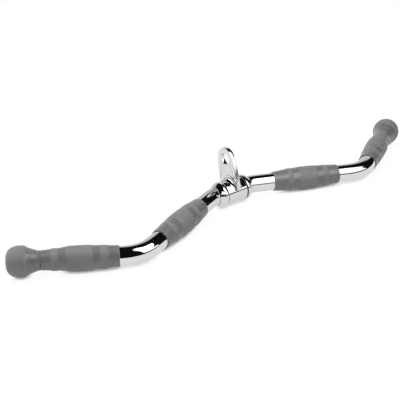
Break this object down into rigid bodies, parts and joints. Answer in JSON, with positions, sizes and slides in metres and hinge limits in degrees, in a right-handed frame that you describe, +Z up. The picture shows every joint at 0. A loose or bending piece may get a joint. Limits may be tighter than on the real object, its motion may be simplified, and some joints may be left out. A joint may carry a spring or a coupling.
{
  "type": "ez curl bar cable attachment",
  "caption": "Bent chromed curl bar for a cable machine, with contoured rubber grips, flared rubber end knobs and a revolving eye hanger at its middle.",
  "frame": {"origin": "on the floor, under the middle of the bar's box as it lies on its knobs and inner grips", "axes": "+X along the bar's straight middle, +Z up, -Y towards the corners of the outer bends"},
  "size_m": [0.6962, 0.1054, 0.0832],
  "materials": {
    "chrome_tube": "polished",
    "chrome_hub": "polished",
    "grip_rubber": "matte with satin bands",
    "bushing_nylon": "satin"
  },
  "bodies": {
    "bar": {"bent_tube": "chrome_tube", "stop_collar_left": "chrome_hub", "stop_collar_right": "chrome_hub", "inner_grip_left": "grip_rubber", "inner_grip_right": "grip_rubber", "outer_grip_left": "grip_rubber", "outer_grip_right": "grip_rubber", "end_knob_left": "grip_rubber", "end_knob_right": "grip_rubber"},
    "hanger": {"swivel_sleeve": "chrome_hub", "hanger_eye_plate": "chrome_hub", "hanger_weld_left": "chrome_hub", "hanger_weld_right": "chrome_hub", "sleeve_bushing_left": "bushing_nylon", "sleeve_bushing_right": "bushing_nylon"}
  },
  "joints": [
    {"name": "hanger_swivel", "type": "hinge", "parent": "bar", "child": "hanger", "pos_m": [0, 0.02124, 0.01939], "axis": [1, 0, 0], "continuous": true}
  ]
}
